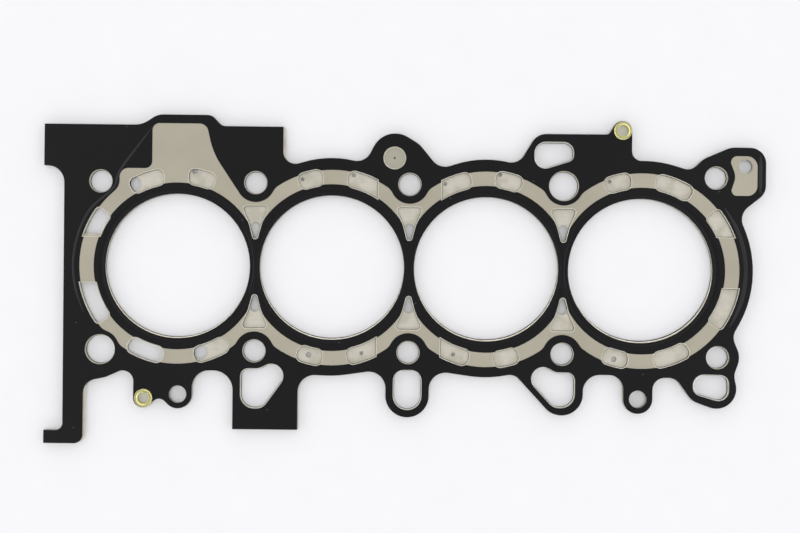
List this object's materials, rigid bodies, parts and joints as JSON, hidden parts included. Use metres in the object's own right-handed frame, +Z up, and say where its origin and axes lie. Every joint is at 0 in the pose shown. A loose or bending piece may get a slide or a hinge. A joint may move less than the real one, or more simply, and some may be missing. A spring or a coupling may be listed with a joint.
{
  "type": "cylinder head gasket",
  "caption": "Multi-layer steel cylinder head gasket: rubber-coated sheets over a bare spacer, open at the bores, head bolts, dowels, oil drains and coolant slots.",
  "frame": {"origin": "axis of bore 1, at the underside of the lower sheet", "axes": "+X along the row of bores towards the rear of the engine, +Y towards the exhaust side, +Z up to the cylinder head"},
  "size_m": [0.4075, 0.1862, 0.0025],
  "materials": {
    "rubber": "satin",
    "spring_steel": "satin",
    "spacer_steel": "satin",
    "coated_steel": "satin",
    "brass": "satin"
  },
  "bodies": {
    "root": {"upper_layer": "spring_steel", "outer_coating": "rubber", "bore_coating": "rubber", "middle_layer": "spacer_steel", "lower_layer": "coated_steel", "front_eyelet": "brass", "rear_eyelet": "brass"}
  },
  "joints": []
}
